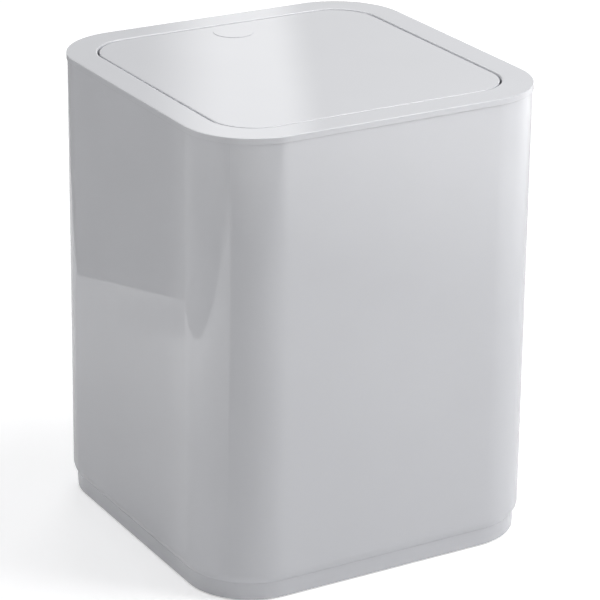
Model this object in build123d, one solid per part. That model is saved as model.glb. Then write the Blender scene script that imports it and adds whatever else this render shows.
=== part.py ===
from build123d import *
from math import atan, cos, degrees, radians, sin, sqrt
import os

# Square countertop bin with a flush push lid. Millimetres, +Z up. The origin is the centre of the
# footprint on the worktop. The lid swings about an axis parallel to X, so it opens when it is pushed
# down at its front (-Y) or its back (+Y) edge. The head, which carries the lid, lifts off, and the
# inner bucket lifts out by its bail.

# Outer form
head_width = 190.0            # across the rim, side to side and front to back
total_height = 240.0          # worktop to the rim's top face
head_corner_radius = 36.7     # plan corner of the rim
hem_height = 3.2              # edge of the rim that shows above the shell
hem_overhang = 0.5            # the rim stands proud of the shell by this much all round
shell_spread = 0.95           # each side leans out by this much from the top to the foot
belly_radius = 8.5            # rounding of the shell's lower edge
belly_inset = 1.85            # how far that rounding has turned in where the plinth begins
plinth_height = 9.1           # visible band under the shell
plinth_draft = 0.4            # each side of the plinth leans in by this much towards the worktop
pad_standoff = 0.6            # the rubber pads hold the plinth off the worktop by this much

# Outer shell
shell_wall = 2.6
shell_edge_chamfer = 0.35     # breaks the shell's top edge, so that a fine line shows under the hem
shell_inner_round = 4.0       # inner corner between the wall and the bottom flange
flange_reach = 12.0           # width of the in-turned bottom flange
flange_thickness = 2.6
base_boss_radius = 4.5
base_boss_height = 12.0       # above the plinth's top face

# Plinth
plinth_plate = 2.4
plinth_wall = 2.5
plinth_edge_round = 0.5       # its lower outer edge
spigot_height = 5.0
spigot_wall = 2.0
locating_clearance = 0.3      # between a spigot or skirt and what it slips into
frame_rib_inset = 33.0        # square rib under the plate, from the plinth's lower edge
frame_rib_radius = 14.0
frame_rib_thickness = 2.0
frame_rib_gap = 2.0           # rib's lower edge above the plinth's lower edge

# Screws that hold the plinth to the shell
base_screw_radius = 1.75
base_screw_length = 13.0
base_screw_head_radius = 3.2
base_screw_head_height = 2.0
base_screw_land = 3.0         # plastic clamped between the head and the shell's flange
screw_head_clearance = 0.4
screw_hole_clearance = 0.15
pilot_spare = 1.0             # a pilot hole is deeper than the screw's tip by this much
drive_slot_width = 0.9
drive_slot_depth = 1.0
drive_slot_share = 0.7        # of the head's radius

# Rubber feet
pad_radius = 8.0
pad_inset = 23.0              # pad's centre from the plinth's lower edges
pad_recess = 2.2
pad_cup_wall = 1.8

# Head
rim_width = 15.0              # from the rim's outer edge to the mouth
mouth_corner_radius = 23.7
mouth_wall = 2.4
skirt_wall = 2.2
skirt_depth = 13.0            # locating skirt below the hem
rim_outer_round = 0.5
rim_lower_round = 0.25
mouth_round = 0.8
head_rib_thickness = 1.8
head_rib_inset = 16.3         # from the end of the straight side
head_rib_gap = 3.0            # rib's lower edge above the skirt's lower edge

# Lid
lid_gap = 1.0                 # open line between the lid and the mouth
lid_drop = 0.2                # lid's top face below the rim's
lid_thickness = 15.1          # top face to the under-tray's lower face
lid_plate = 2.5
lid_skirt_wall = 2.2
lid_skirt_depth = 10.1        # top face to the skirt's lower edge
lid_round = 0.6
lid_rib_thickness = 1.4
lid_rib_depth = 4.0
mark_radius = 10.5            # bare raised roundel near the lid's back edge
mark_inset = 13.5             # its centre, from the lid's back edge
mark_height = 0.15

# Under-tray, which carries the bushes and the counterweight
tray_plate = 2.0
tray_round = 1.0
tray_spigot_wall = 1.6
tray_spigot_height = 3.0      # above the joint line with the lid's skirt
tray_fit = 0.25
ear_thickness = 9.0
ear_width = 13.0
lid_head_clearance = 0.45     # bush flange under the lid's plate
ear_head_clearance = 0.3      # ear's top under the lid's plate
spine_thickness = 3.0
keel_depth = 20.0             # counterweight's axis below the pivot
keel_wall = 1.9
keel_end_gap = 1.0            # keel's end to the stop bumper
gusset_thickness = 2.0
gusset_inset = 22.5           # outer gussets from the keel's ends
gusset_reach = 9.0            # half width at the tray
gusset_foot = 3.0             # half width at the counterweight's axis
tray_screw_inset = 34.0       # from the lid's edges
tray_screw_radius = 1.5
tray_screw_length = 9.0
tray_screw_head_radius = 2.8
tray_screw_head_height = 1.8
tray_screw_pad_radius = 5.0
tray_screw_pad_height = 4.3
lid_boss_radius = 3.8

# Pivot
pin_radius = 2.0
pin_chamfer = 0.25
pin_running_clearance = 0.05
pin_tail = 0.5                # pin's inner end past the bush
pin_inset = 0.4               # pin's outer end inside the skirt's face
bush_wall = 1.0
bush_flange_step = 1.6
bush_flange_thickness = 1.2
pivot_boss_radius = 5.0
thrust_collar_radius = 4.0
thrust_clearance = 0.3
pin_slot_clearance = 1.0
lid_swing_limit = 60.0        # degrees either way from level

# Counterweight and its rubber stops
weight_radius = 4.0
weight_chamfer = 0.4
weight_fit = 0.1
bumper_inset = 0.8            # bumper's end inside the mouth wall's outer face
bumper_wall = 1.2
bumper_round = 0.6
bumper_sleeve = 4.5
bumper_cap = 1.8
stop_clearance = 0.3
stop_margin = 2.5             # relief in the mouth wall past the bumper's path

# Inner bucket
bucket_headroom = 1.0         # between the bail's lugs and the bumpers
bucket_side_room = 1.55       # between the rim and the shell
bucket_foot_room = 2.4        # between the foot and the plinth's spigot
bucket_wall = 1.6
bucket_floor = 2.0
bucket_foot_ring = 1.5
bucket_foot_ring_wall = 3.2
bucket_rim_reach = 2.1        # rim's outer edge past the wall
bucket_rim_thickness = 2.0
bucket_rim_lip = 4.0          # down-turned edge of the rim, its full height
bucket_rim_lip_wall = 1.2

# Bail and its grip
wire_radius = 1.5
wire_bend_radius = 2.6
bail_corner_radius = 32.0
bail_clearance = 0.1
rest_clearance = 0.3          # grip above the bucket's rim
lug_inset = 4.6               # ear's inner face inside the bucket's inner wall at the rim
lug_thickness = 2.2
lug_width = 12.0
lug_depth = 13.0
lug_roof = 2.2
lug_round = 3.0
wire_side_gap = 0.2
peen_radius = 2.2
peen_thickness = 0.6
grip_length = 62.0
grip_width = 8.0
grip_height = 7.0
grip_wall = 1.4
grip_round = 2.4

# Levels
plinth_low = pad_standoff
seam_level = plinth_low + plinth_height
hem_level = total_height - hem_height
lid_top = total_height - lid_drop
lid_bottom = lid_top - lid_thickness
lid_joint_level = lid_top - lid_skirt_depth

# Half widths and plan corners, worked inwards from the rim
head_half = head_width / 2
shell_top_half = head_half - hem_overhang
shell_top_radius = head_corner_radius - hem_overhang
shell_foot_half = shell_top_half + shell_spread
shell_foot_radius = shell_top_radius + shell_spread
shell_lean = shell_spread / (hem_level - seam_level)
plinth_top_half = shell_foot_half - belly_inset
plinth_top_radius = shell_foot_radius - belly_inset
flange_half = shell_foot_half - shell_wall - flange_reach
flange_radius = shell_foot_radius - shell_wall - flange_reach
spigot_half = flange_half - locating_clearance
spigot_radius = flange_radius - locating_clearance
base_screw_offset = flange_half + flange_reach / 2
plinth_low_half = plinth_top_half - plinth_draft
plinth_low_radius = plinth_top_radius - plinth_draft
pad_offset = plinth_low_half - pad_inset
frame_rib_half = plinth_low_half - frame_rib_inset
skirt_half = shell_top_half - shell_wall - locating_clearance
skirt_radius = shell_top_radius - shell_wall - locating_clearance
mouth_half = head_half - rim_width
lid_half = mouth_half - lid_gap
lid_radius = mouth_corner_radius - lid_gap
head_rib_offset = head_half - head_corner_radius - head_rib_inset
tray_screw_offset = lid_half - tray_screw_inset

# Pivot: the bush's flange sets how close the axis can come to the lid's plate
bush_bore = pin_radius + pin_running_clearance
bush_radius = bush_bore + bush_wall
bush_flange_radius = bush_radius + bush_flange_step
pivot_level = lid_top - lid_plate - lid_head_clearance - bush_flange_radius
keel_level = pivot_level - keel_depth

# Pivot stack along X, worked inwards from the lid's skirt
bush_outer_end = lid_half - lid_skirt_wall - tray_fit - tray_spigot_wall - tray_fit
ear_outer = bush_outer_end - bush_flange_thickness
ear_inner = ear_outer - ear_thickness
pin_inner_end = ear_inner - pin_tail
pin_outer_end = skirt_half - pin_inset

# Stops: at the swing's limit the bumper is one clearance below the relieved edge of the mouth wall
bumper_radius = weight_radius + bumper_wall
stop_level = pivot_level - keel_depth * cos(radians(lid_swing_limit)) + bumper_radius + stop_clearance
stop_half_width = keel_depth * sin(radians(lid_swing_limit)) + bumper_radius + stop_margin
keel_radius = weight_radius + weight_fit + keel_wall
weight_half_length = mouth_half + mouth_wall - bumper_inset - bumper_cap
keel_half_length = weight_half_length - bumper_sleeve - keel_end_gap
gusset_offset = keel_half_length - gusset_inset

# Bucket and bail, worked downwards from the bumpers and inwards from the shell and the spigot
ear_top_level = keel_level - bumper_radius - bucket_headroom
bail_level = ear_top_level - lug_roof - bail_clearance - wire_radius
bucket_rim_level = bail_level - wire_radius - grip_wall - rest_clearance
bucket_rim_half = shell_top_half - shell_wall - bucket_side_room
bucket_rim_radius = shell_top_radius - shell_wall - bucket_side_room
bucket_mouth_half = bucket_rim_half - bucket_rim_reach
bucket_inner_half = bucket_mouth_half - bucket_wall
bucket_foot_half = spigot_half - spigot_wall - bucket_foot_room
bucket_foot_radius = bucket_rim_radius - bucket_rim_half + bucket_foot_half
lug_inner = bucket_inner_half - lug_inset
bail_half = lug_inner + lug_thickness + wire_side_gap + wire_bend_radius
bail_end = lug_inner - wire_side_gap


def square(half, radius, level):
    """Flat square with rounded corners at a level."""
    return Pos(0, 0, level) * RectangleRounded(2 * half, 2 * half, radius)


def block(half, radius, low, high):
    """Upright square block with rounded corners."""
    return extrude(square(half, radius, low), amount=high - low)


def leaning_block(half_low, radius_low, half_high, low, high):
    """Square block whose sides and corners lean evenly from one half width to the other."""
    lean = degrees(atan((half_low - half_high) / (high - low)))
    return extrude(square(half_low, radius_low, low), amount=high - low, taper=lean)


def ring(half, radius, wall, low, high):
    """Upright square wall of one thickness."""
    return block(half, radius, low, high) - block(half - wall, radius - wall, low, high)


def post(x, y, radius, low, high):
    """Upright round post."""
    return Pos(x, y, (low + high) / 2) * Cylinder(radius, high - low)


def bar_x(x_low, x_high, y, z, radius):
    """Round bar along X."""
    return Pos((x_low + x_high) / 2, y, z) * Rot(0, 90, 0) * Cylinder(radius, x_high - x_low)


def cuboid(x_low, x_high, y_low, y_high, z_low, z_high):
    """Box between two corners."""
    middle = Pos((x_low + x_high) / 2, (y_low + y_high) / 2, (z_low + z_high) / 2)
    return middle * Box(x_high - x_low, y_high - y_low, z_high - z_low)


def both_sides(piece):
    """The piece and its mirror image across the YZ plane."""
    return piece + mirror(piece, about=Plane.YZ)


def side_points(offset):
    """Middle of each of the four sides at one distance from the centre."""
    return [(offset, 0), (0, offset), (-offset, 0), (0, -offset)]


def corner_points(offset):
    """Four corners of a centred square."""
    return [(sx * offset, sy * offset) for sx in (-1, 1) for sy in (-1, 1)]


def screw(x, y, head_low, radius, length, head_radius, head_height):
    """Pan-head screw, driven upwards, with a cross slot in its head and a plain shank."""
    body = post(x, y, head_radius, head_low, head_low + head_height)
    body += post(x, y, radius, head_low + head_height, head_low + head_height + length)
    reach = head_radius * drive_slot_share
    half = drive_slot_width / 2
    top = head_low + drive_slot_depth
    body -= cuboid(x - reach, x + reach, y - half, y + half, head_low, top)
    body -= cuboid(x - half, x + half, y - reach, y + reach, head_low, top)
    return body


def outer_shell():
    """Moulded sleeve: four leaning walls, a rounded lower edge and an in-turned flange with bosses."""
    drop = sqrt(belly_radius ** 2 - (belly_radius - belly_inset) ** 2)
    low = seam_level + drop - belly_radius
    shift = shell_lean * (seam_level - low)
    body = leaning_block(shell_foot_half + shift, shell_foot_radius + shift, shell_top_half, low, hem_level)
    body = fillet(body.faces().sort_by(Axis.Z)[0].edges(), belly_radius)
    body = chamfer(body.faces().sort_by(Axis.Z)[-1].edges(), shell_edge_chamfer)
    body -= block(head_width, head_corner_radius, low - belly_radius, seam_level)
    floor = seam_level + flange_thickness
    rise = shell_lean * (floor - seam_level)
    cavity = leaning_block(shell_foot_half - shell_wall - rise, shell_foot_radius - shell_wall - rise,
                           shell_top_half - shell_wall, floor, hem_level)
    cavity = fillet(cavity.faces().sort_by(Axis.Z)[0].edges(), shell_inner_round)
    body -= cavity
    body -= block(flange_half, flange_radius, seam_level, floor)
    for x, y in side_points(base_screw_offset):
        body += post(x, y, base_boss_radius, floor - flange_thickness / 2, seam_level + base_boss_height)
    tip = seam_level - base_screw_land + base_screw_length
    for x, y in side_points(base_screw_offset):
        body -= post(x, y, base_screw_radius + screw_hole_clearance, seam_level, tip + pilot_spare)
    return body


def base_plinth():
    """Floor pan that closes the shell: plate, outer wall, spigot, screw columns and cups for the feet."""
    plate_low = seam_level - plinth_plate
    body = leaning_block(plinth_low_half, plinth_low_radius, plinth_top_half, plinth_low, seam_level)
    body = fillet(body.faces().sort_by(Axis.Z)[0].edges(), plinth_edge_round)
    body -= block(plinth_low_half - plinth_wall, plinth_low_radius - plinth_wall, plinth_low, plate_low)
    body += ring(spigot_half, spigot_radius, spigot_wall, plate_low, seam_level + spigot_height)
    body += ring(frame_rib_half, frame_rib_radius, frame_rib_thickness,
                 plinth_low + frame_rib_gap, seam_level)
    seat = seam_level - base_screw_land
    for x, y in side_points(base_screw_offset):
        body += post(x, y, base_boss_radius, plinth_low, seam_level)
    for x, y in corner_points(pad_offset):
        body += post(x, y, pad_radius + pad_cup_wall, plinth_low, seam_level)
    for x, y in side_points(base_screw_offset):
        body -= post(x, y, base_screw_head_radius + screw_head_clearance, plinth_low, seat)
        body -= post(x, y, base_screw_radius + screw_hole_clearance, seat, seam_level)
    for x, y in corner_points(pad_offset):
        body -= post(x, y, pad_radius, plinth_low, plinth_low + pad_recess)
    return body


def base_screws():
    """Four screws, from below, through the plinth into the shell's bosses."""
    head_low = seam_level - base_screw_land - base_screw_head_height
    return Compound(children=[
        screw(x, y, head_low, base_screw_radius, base_screw_length, base_screw_head_radius,
              base_screw_head_height) for x, y in side_points(base_screw_offset)])


def foot_pad(x, y):
    """Rubber disc glued into its cup."""
    body = post(x, y, pad_radius, 0, plinth_low + pad_recess)
    return chamfer(body.faces().sort_by(Axis.Z)[0].edges(), pad_standoff / 2)


def head_frame():
    """Rim with a hem outside, a mouth wall and a locating skirt below, ribs, and the pivot bosses."""
    mouth_wall_low = lid_bottom
    skirt_low = hem_level - skirt_depth
    rim = block(head_half, head_corner_radius, hem_level, total_height)
    rim = fillet(rim.faces().sort_by(Axis.Z)[-1].edges(), rim_outer_round)
    rim = fillet(rim.faces().sort_by(Axis.Z)[0].edges(), rim_lower_round)
    rim -= block(mouth_half, mouth_corner_radius, hem_level, total_height)
    rim = fillet(rim.faces().sort_by(Axis.Z)[-1].inner_wires().edges(), mouth_round)
    wall = ring(mouth_half + mouth_wall, mouth_corner_radius + mouth_wall, mouth_wall,
                mouth_wall_low, hem_level)
    for side in (-1, 1):
        near, far = sorted((side * (mouth_half - mouth_wall), side * (mouth_half + 2 * mouth_wall)))
        wall -= cuboid(near, far, -stop_half_width, stop_half_width, mouth_wall_low, stop_level)
    body = rim + wall + ring(skirt_half, skirt_radius, skirt_wall, skirt_low, hem_level)
    rib_start = mouth_half + mouth_wall / 2
    rib_end = skirt_half - skirt_wall / 2
    rib_low = skirt_low + head_rib_gap
    for across in (-head_rib_offset, head_rib_offset):
        near, far = across - head_rib_thickness / 2, across + head_rib_thickness / 2
        for side in (-1, 1):
            low, high = sorted((side * rib_start, side * rib_end))
            body += cuboid(low, high, near, far, rib_low, hem_level)
            body += cuboid(near, far, low, high, rib_low, hem_level)
    boss = bar_x(mouth_half, skirt_half, 0, pivot_level, pivot_boss_radius)
    boss += cuboid(rib_start, rib_end, -pivot_boss_radius, pivot_boss_radius, pivot_level, hem_level)
    boss += bar_x(lid_half + thrust_clearance, mouth_half, 0, pivot_level, thrust_collar_radius)
    body += both_sides(boss)
    bore = bar_x(lid_half, skirt_half + skirt_wall, 0, pivot_level, pin_radius)
    body -= both_sides(bore)
    return body


def pivot_pin(side):
    """Steel pin pressed into the head's boss from outside."""
    low, high = sorted((side * pin_inner_end, side * pin_outer_end))
    body = bar_x(low, high, 0, pivot_level, pin_radius)
    return chamfer(body.edges().filter_by(GeomType.CIRCLE), pin_chamfer)


def pivot_bush(side):
    """Flanged nylon bush pressed into the tray's ear from outside."""
    low, high = sorted((side * ear_inner, side * bush_outer_end))
    body = bar_x(low, high, 0, pivot_level, bush_radius)
    flange_low, flange_high = sorted((side * ear_outer, side * bush_outer_end))
    body += bar_x(flange_low, flange_high, 0, pivot_level, bush_flange_radius)
    return body - bar_x(low, high, 0, pivot_level, bush_bore)


def lid_panel():
    """Top of the lid: plate with a skirt, slots that drop over the pins, ribs, bosses and a bare roundel."""
    body = block(lid_half, lid_radius, lid_joint_level, lid_top)
    body = fillet(body.faces().sort_by(Axis.Z)[-1].edges(), lid_round)
    plate_low = lid_top - lid_plate
    body -= block(lid_half - lid_skirt_wall, lid_radius - lid_skirt_wall, lid_joint_level, plate_low)
    inner = lid_half - lid_skirt_wall / 2
    half = lid_rib_thickness / 2
    for across in (-tray_screw_offset, tray_screw_offset):
        body += cuboid(-inner, inner, across - half, across + half, plate_low - lid_rib_depth, plate_low)
        body += cuboid(across - half, across + half, -inner, inner, plate_low - lid_rib_depth, plate_low)
    boss_low = lid_bottom + tray_screw_pad_height
    for x, y in corner_points(tray_screw_offset):
        body += post(x, y, lid_boss_radius, boss_low, plate_low)
    tip = boss_low + tray_screw_length - tray_screw_pad_height + tray_screw_head_height
    for x, y in corner_points(tray_screw_offset):
        body -= post(x, y, tray_screw_radius + screw_hole_clearance, boss_low, tip + pilot_spare)
    slot = pin_radius + pin_slot_clearance
    opening = bar_x(lid_half - 2 * lid_skirt_wall, lid_half, 0, pivot_level, slot)
    opening += cuboid(lid_half - 2 * lid_skirt_wall, lid_half, -slot, slot, lid_joint_level, pivot_level)
    body -= both_sides(opening)
    body += post(0, lid_half - mark_inset, mark_radius, lid_top - lid_plate / 2, lid_top + mark_height)
    return body


def lid_carrier():
    """Under-tray of the lid: lip, spigot, ears for the bushes, screw pads and the counterweight's keel."""
    plate_top = lid_bottom + tray_plate
    body = block(lid_half, lid_radius, lid_bottom, lid_joint_level)
    body = fillet(body.faces().sort_by(Axis.Z)[0].edges(), tray_round)
    body -= block(lid_half - lid_skirt_wall, lid_radius - lid_skirt_wall, plate_top, lid_joint_level)
    spigot_inset = lid_skirt_wall + tray_fit
    body += ring(lid_half - lid_skirt_wall, lid_radius - lid_skirt_wall, tray_fit + tray_spigot_wall,
                 plate_top, lid_joint_level)
    body += ring(lid_half - spigot_inset, lid_radius - spigot_inset, tray_spigot_wall,
                 plate_top, lid_joint_level + tray_spigot_height)
    slot = bush_flange_radius + pin_slot_clearance
    notch_low = pivot_level - pin_radius - tray_fit
    notch = cuboid(ear_outer, lid_half - lid_skirt_wall, -slot, slot, notch_low, lid_top)
    pocket = bar_x(ear_outer, bush_outer_end + tray_fit, 0, pivot_level, bush_flange_radius + tray_fit)
    body -= both_sides(notch) + both_sides(pocket)
    ear_top = lid_top - lid_plate - ear_head_clearance
    body += both_sides(cuboid(ear_inner, ear_outer, -ear_width / 2, ear_width / 2, plate_top, ear_top))
    spine = spine_thickness / 2
    body += cuboid(-ear_inner, ear_inner, -spine, spine, plate_top, lid_joint_level)
    body += cuboid(-keel_half_length, keel_half_length, -spine, spine, keel_level, plate_top)
    body += bar_x(-keel_half_length, keel_half_length, 0, keel_level, keel_radius)
    for x in (-gusset_offset, 0, gusset_offset):
        outline = Polyline((-gusset_reach, lid_bottom), (gusset_reach, lid_bottom),
                           (gusset_foot, keel_level), (-gusset_foot, keel_level), close=True)
        side = Plane(origin=(x - gusset_thickness / 2, 0, 0), x_dir=(0, 1, 0), z_dir=(1, 0, 0))
        body += extrude(side * make_face(outline), amount=gusset_thickness)
    for x, y in corner_points(tray_screw_offset):
        body += post(x, y, tray_screw_pad_radius, lid_bottom, lid_bottom + tray_screw_pad_height)
    for x, y in corner_points(tray_screw_offset):
        seat = lid_bottom + tray_screw_head_height + screw_head_clearance
        body -= post(x, y, tray_screw_head_radius + screw_head_clearance, lid_bottom, seat)
        body -= post(x, y, tray_screw_radius + screw_hole_clearance, seat, lid_bottom + tray_screw_pad_height)
    body -= bar_x(-keel_half_length, keel_half_length, 0, keel_level, weight_radius + weight_fit)
    body -= both_sides(bar_x(ear_inner, ear_outer, 0, pivot_level, bush_radius))
    return body


def carrier_screws():
    """Four screws, from below, through the tray's pads into the lid's bosses."""
    head_low = lid_bottom + screw_head_clearance
    return Compound(children=[
        screw(x, y, head_low, tray_screw_radius, tray_screw_length, tray_screw_head_radius,
              tray_screw_head_height) for x, y in corner_points(tray_screw_offset)])


def counterweight_bar():
    """Plain steel rod in the keel, which brings the lid back to level."""
    body = bar_x(-weight_half_length, weight_half_length, 0, keel_level, weight_radius)
    return chamfer(body.edges().filter_by(GeomType.CIRCLE), weight_chamfer)


def stop_bumper(side):
    """Rubber cap on the rod's end. It meets the mouth wall's relieved edge at the swing's limit."""
    end = weight_half_length
    low, high = sorted((side * (end - bumper_sleeve), side * (end + bumper_cap)))
    body = bar_x(low, high, 0, keel_level, bumper_radius)
    body = fillet(body.edges().filter_by(GeomType.CIRCLE), bumper_round)
    low, high = sorted((side * (end - bumper_sleeve), side * end))
    return body - bar_x(low, high, 0, keel_level, weight_radius)


def inner_bucket():
    """Tapered bucket with a foot ring, a turned-down rim and two lugs for the bail."""
    low = seam_level
    body = leaning_block(bucket_foot_half, bucket_foot_radius, bucket_mouth_half, low, bucket_rim_level)
    lean = (bucket_mouth_half - bucket_foot_half) / (bucket_rim_level - low)
    floor = low + bucket_foot_ring + bucket_floor
    inset = bucket_wall - lean * (floor - low)
    cavity = leaning_block(bucket_foot_half - inset, bucket_foot_radius - inset, bucket_inner_half,
                           floor, bucket_rim_level)
    recess = block(bucket_foot_half - bucket_foot_ring_wall, bucket_foot_radius - bucket_foot_ring_wall,
                   low, low + bucket_foot_ring)
    lip_low = bucket_rim_level - bucket_rim_lip
    rim = block(bucket_rim_half, bucket_rim_radius, bucket_rim_level - bucket_rim_thickness, bucket_rim_level)
    rim += ring(bucket_rim_half, bucket_rim_radius, bucket_rim_lip_wall, lip_low, bucket_rim_level)
    rim = fillet(rim.faces().sort_by(Axis.Z)[-1].edges(), bucket_rim_thickness / 2)
    body = body + rim - cavity - recess
    half = lug_width / 2
    lug_low = bucket_rim_level - lug_depth
    lug = cuboid(lug_inner, bucket_inner_half + bucket_wall / 2, -half, half, lug_low, bucket_rim_level)
    ear = cuboid(lug_inner, lug_inner + lug_thickness, -half, half, lug_low, ear_top_level)
    ear = fillet(ear.edges().filter_by(Axis.X).sort_by(Axis.Z)[-2:], lug_round)
    body += both_sides(lug + ear)
    hole = bar_x(lug_inner, lug_inner + lug_thickness, 0, bail_level, wire_radius + bail_clearance)
    return body - both_sides(hole)


def bucket_bail():
    """Steel wire bail: two legs and a front run, with ends bent inwards through the lugs and peened."""
    path = FilletPolyline((bail_end, 0, bail_level), (bail_half, 0, bail_level),
                          (bail_half, -bail_half, bail_level), (-bail_half, -bail_half, bail_level),
                          (-bail_half, 0, bail_level), (-bail_end, 0, bail_level),
                          radius=[wire_bend_radius, bail_corner_radius, bail_corner_radius, wire_bend_radius])
    section = Plane(origin=(bail_end, 0, bail_level), z_dir=(1, 0, 0)) * Circle(wire_radius)
    body = sweep(section, path=path)
    peen = bar_x(bail_end - peen_thickness, bail_end, 0, bail_level, peen_radius)
    return body + both_sides(peen)


def bail_grip():
    """Plastic grip moulded round the front run of the wire, which lies near its underside."""
    low = bail_level - wire_radius - grip_wall
    end = (-grip_length / 2, -bail_half, low + grip_height / 2)
    plan = Plane(origin=end, x_dir=(0, 1, 0), z_dir=(1, 0, 0))
    body = extrude(plan * RectangleRounded(grip_width, grip_height, grip_round), amount=grip_length)
    return body - bar_x(-grip_length / 2, grip_length / 2, -bail_half, bail_level, wire_radius)


SIDES = {"left": -1, "right": 1}
ENDS = {"front": -1, "back": 1}

pieces = {
    "outer_shell": outer_shell(),
    "base_plinth": base_plinth(),
    "base_screws": base_screws(),
    "head_frame": head_frame(),
    "lid_panel": lid_panel(),
    "lid_carrier": lid_carrier(),
    "carrier_screws": carrier_screws(),
    "counterweight_bar": counterweight_bar(),
    "inner_bucket": inner_bucket(),
    "bucket_bail": bucket_bail(),
    "bail_grip": bail_grip(),
}
for name, side in SIDES.items():
    pieces[f"pivot_pin_{name}"] = pivot_pin(side)
    pieces[f"pivot_bush_{name}"] = pivot_bush(side)
    pieces[f"stop_bumper_{name}"] = stop_bumper(side)
    for end_name, end in ENDS.items():
        pieces[f"foot_pad_{end_name}_{name}"] = foot_pad(side * pad_offset, end * pad_offset)

os.makedirs("parts", exist_ok=True)
for name, piece in pieces.items():
    export_step(piece, f"parts/{name}.step")
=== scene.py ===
import math

import bpy
import numpy as np
from mathutils import Matrix, Vector


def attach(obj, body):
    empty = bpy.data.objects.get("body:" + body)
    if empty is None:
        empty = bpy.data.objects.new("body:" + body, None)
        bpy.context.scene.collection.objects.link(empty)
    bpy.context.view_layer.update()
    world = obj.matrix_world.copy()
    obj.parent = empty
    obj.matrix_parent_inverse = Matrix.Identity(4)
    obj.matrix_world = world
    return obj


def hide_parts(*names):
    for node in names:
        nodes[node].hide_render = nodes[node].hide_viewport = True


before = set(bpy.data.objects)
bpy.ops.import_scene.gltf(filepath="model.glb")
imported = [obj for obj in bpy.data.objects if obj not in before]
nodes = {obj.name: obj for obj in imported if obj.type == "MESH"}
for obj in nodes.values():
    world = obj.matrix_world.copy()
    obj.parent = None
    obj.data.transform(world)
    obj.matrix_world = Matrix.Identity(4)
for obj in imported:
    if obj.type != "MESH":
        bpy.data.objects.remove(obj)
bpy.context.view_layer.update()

# Camera. A long lens stands well back from the bin and a little above it, turned to its front left corner,
# so the upright edges stay almost parallel.
lens_length = 171.16                         # mm, on a sensor 36 mm wide
sensor_width = 36.0
nearest_seen = 0.05
camera_distance = 1.4664
camera_aim = Vector((0.0025, -0.0014, 0.1138))
camera_azimuth = math.radians(30.285)        # from +Y towards +X
camera_pitch = math.radians(21.833)          # downwards
camera_roll = math.radians(0.654)            # right side up
forward = Vector((math.sin(camera_azimuth) * math.cos(camera_pitch),
                  math.cos(camera_azimuth) * math.cos(camera_pitch),
                  -math.sin(camera_pitch)))
camera_data = bpy.data.cameras.new("camera")
camera_data.lens = lens_length
camera_data.sensor_width = sensor_width
camera_data.clip_start = nearest_seen
camera = bpy.data.objects.new("camera", camera_data)
level_view = forward.to_track_quat("-Z", "Y").to_matrix()
camera.matrix_world = (Matrix.Translation(camera_aim - camera_distance * forward)
                       @ (level_view @ Matrix.Rotation(camera_roll, 3, "Z")).to_4x4())
bpy.context.scene.collection.objects.link(camera)
bpy.context.scene.camera = camera
bpy.context.scene.view_settings.view_transform = "Standard"


# Studio. The bin stands on a matt white table under soft lamps, with lit boards past the table's edges and
# pale walls all round, one of them crossed by a bright upright strip. A polished moulding carries its studio
# as reflections: the boards, the walls and the table's pools of light are seen in the gloss alone.
def linear(code):
    """Colour from sRGB hex to linear light: each channel through the inverse of the sRGB curve."""
    value = np.array([int(code[k:k + 2], 16) for k in (1, 3, 5)]) / 255.0
    value = np.where(value <= 0.04045, value / 12.92, ((value + 0.055) / 1.055) ** 2.4)
    return (*value.tolist(), 1.0)


def add_node(tree, kind, values=None, links=None, **settings):
    """One shader node: its settings, the values on its sockets, and what feeds its sockets. A feed is a
    socket, or a node, which gives its first output."""
    node = tree.nodes.new("ShaderNode" + kind)
    for name, setting in settings.items():
        setattr(node, name, setting)
    for name, value in (values or {}).items():
        node.inputs[name].default_value = value
    for name, source in (links or {}).items():
        feed = source.outputs[0] if hasattr(source, "outputs") else source
        tree.links.new(feed, node.inputs[name])
    return node


def blank_tree(owner):
    """Node tree of a material or world, emptied."""
    owner.use_nodes = True
    owner.node_tree.nodes.clear()
    return owner.node_tree


across = Vector((math.cos(camera_azimuth), -math.sin(camera_azimuth), 0.0))   # to the camera's right
away = Vector((math.sin(camera_azimuth), math.cos(camera_azimuth), 0.0))      # away from the camera


def studio_point(right, back, height=0.0):
    """Point given by its distances to the camera's right, away from it and above the table, in metres."""
    return tuple(across * right + away * back + Vector((0.0, 0.0, height)))


def card(name, corners, material):
    """Flat card of the studio, from corners given as for studio_point."""
    mesh = bpy.data.meshes.new(name)
    mesh.from_pydata([studio_point(*corner) for corner in corners], [], [tuple(range(len(corners)))])
    mesh.materials.append(material)
    made = bpy.data.objects.new(name, mesh)
    bpy.context.scene.collection.objects.link(made)
    return made


def level_along(tree, spot, toward, stops):
    """Brightness that runs straight from stop to stop (place in metres, level) along a direction of the
    table and keeps its end levels beyond: the first level plus each stretch's own rise."""
    place = add_node(tree, "VectorMath", {1: toward}, {0: spot}, operation="DOT_PRODUCT").outputs["Value"]
    level = None
    for (start, low), (end, high) in zip(stops, stops[1:]):
        first, last = (low, high) if level is None else (0.0, high - low)
        rise = add_node(tree, "MapRange", {"From Min": start, "From Max": end, "To Min": first,
                                           "To Max": last}, {"Value": place})
        level = rise if level is None else add_node(tree, "Math", links={0: level, 1: rise}, operation="ADD")
    return level


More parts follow.
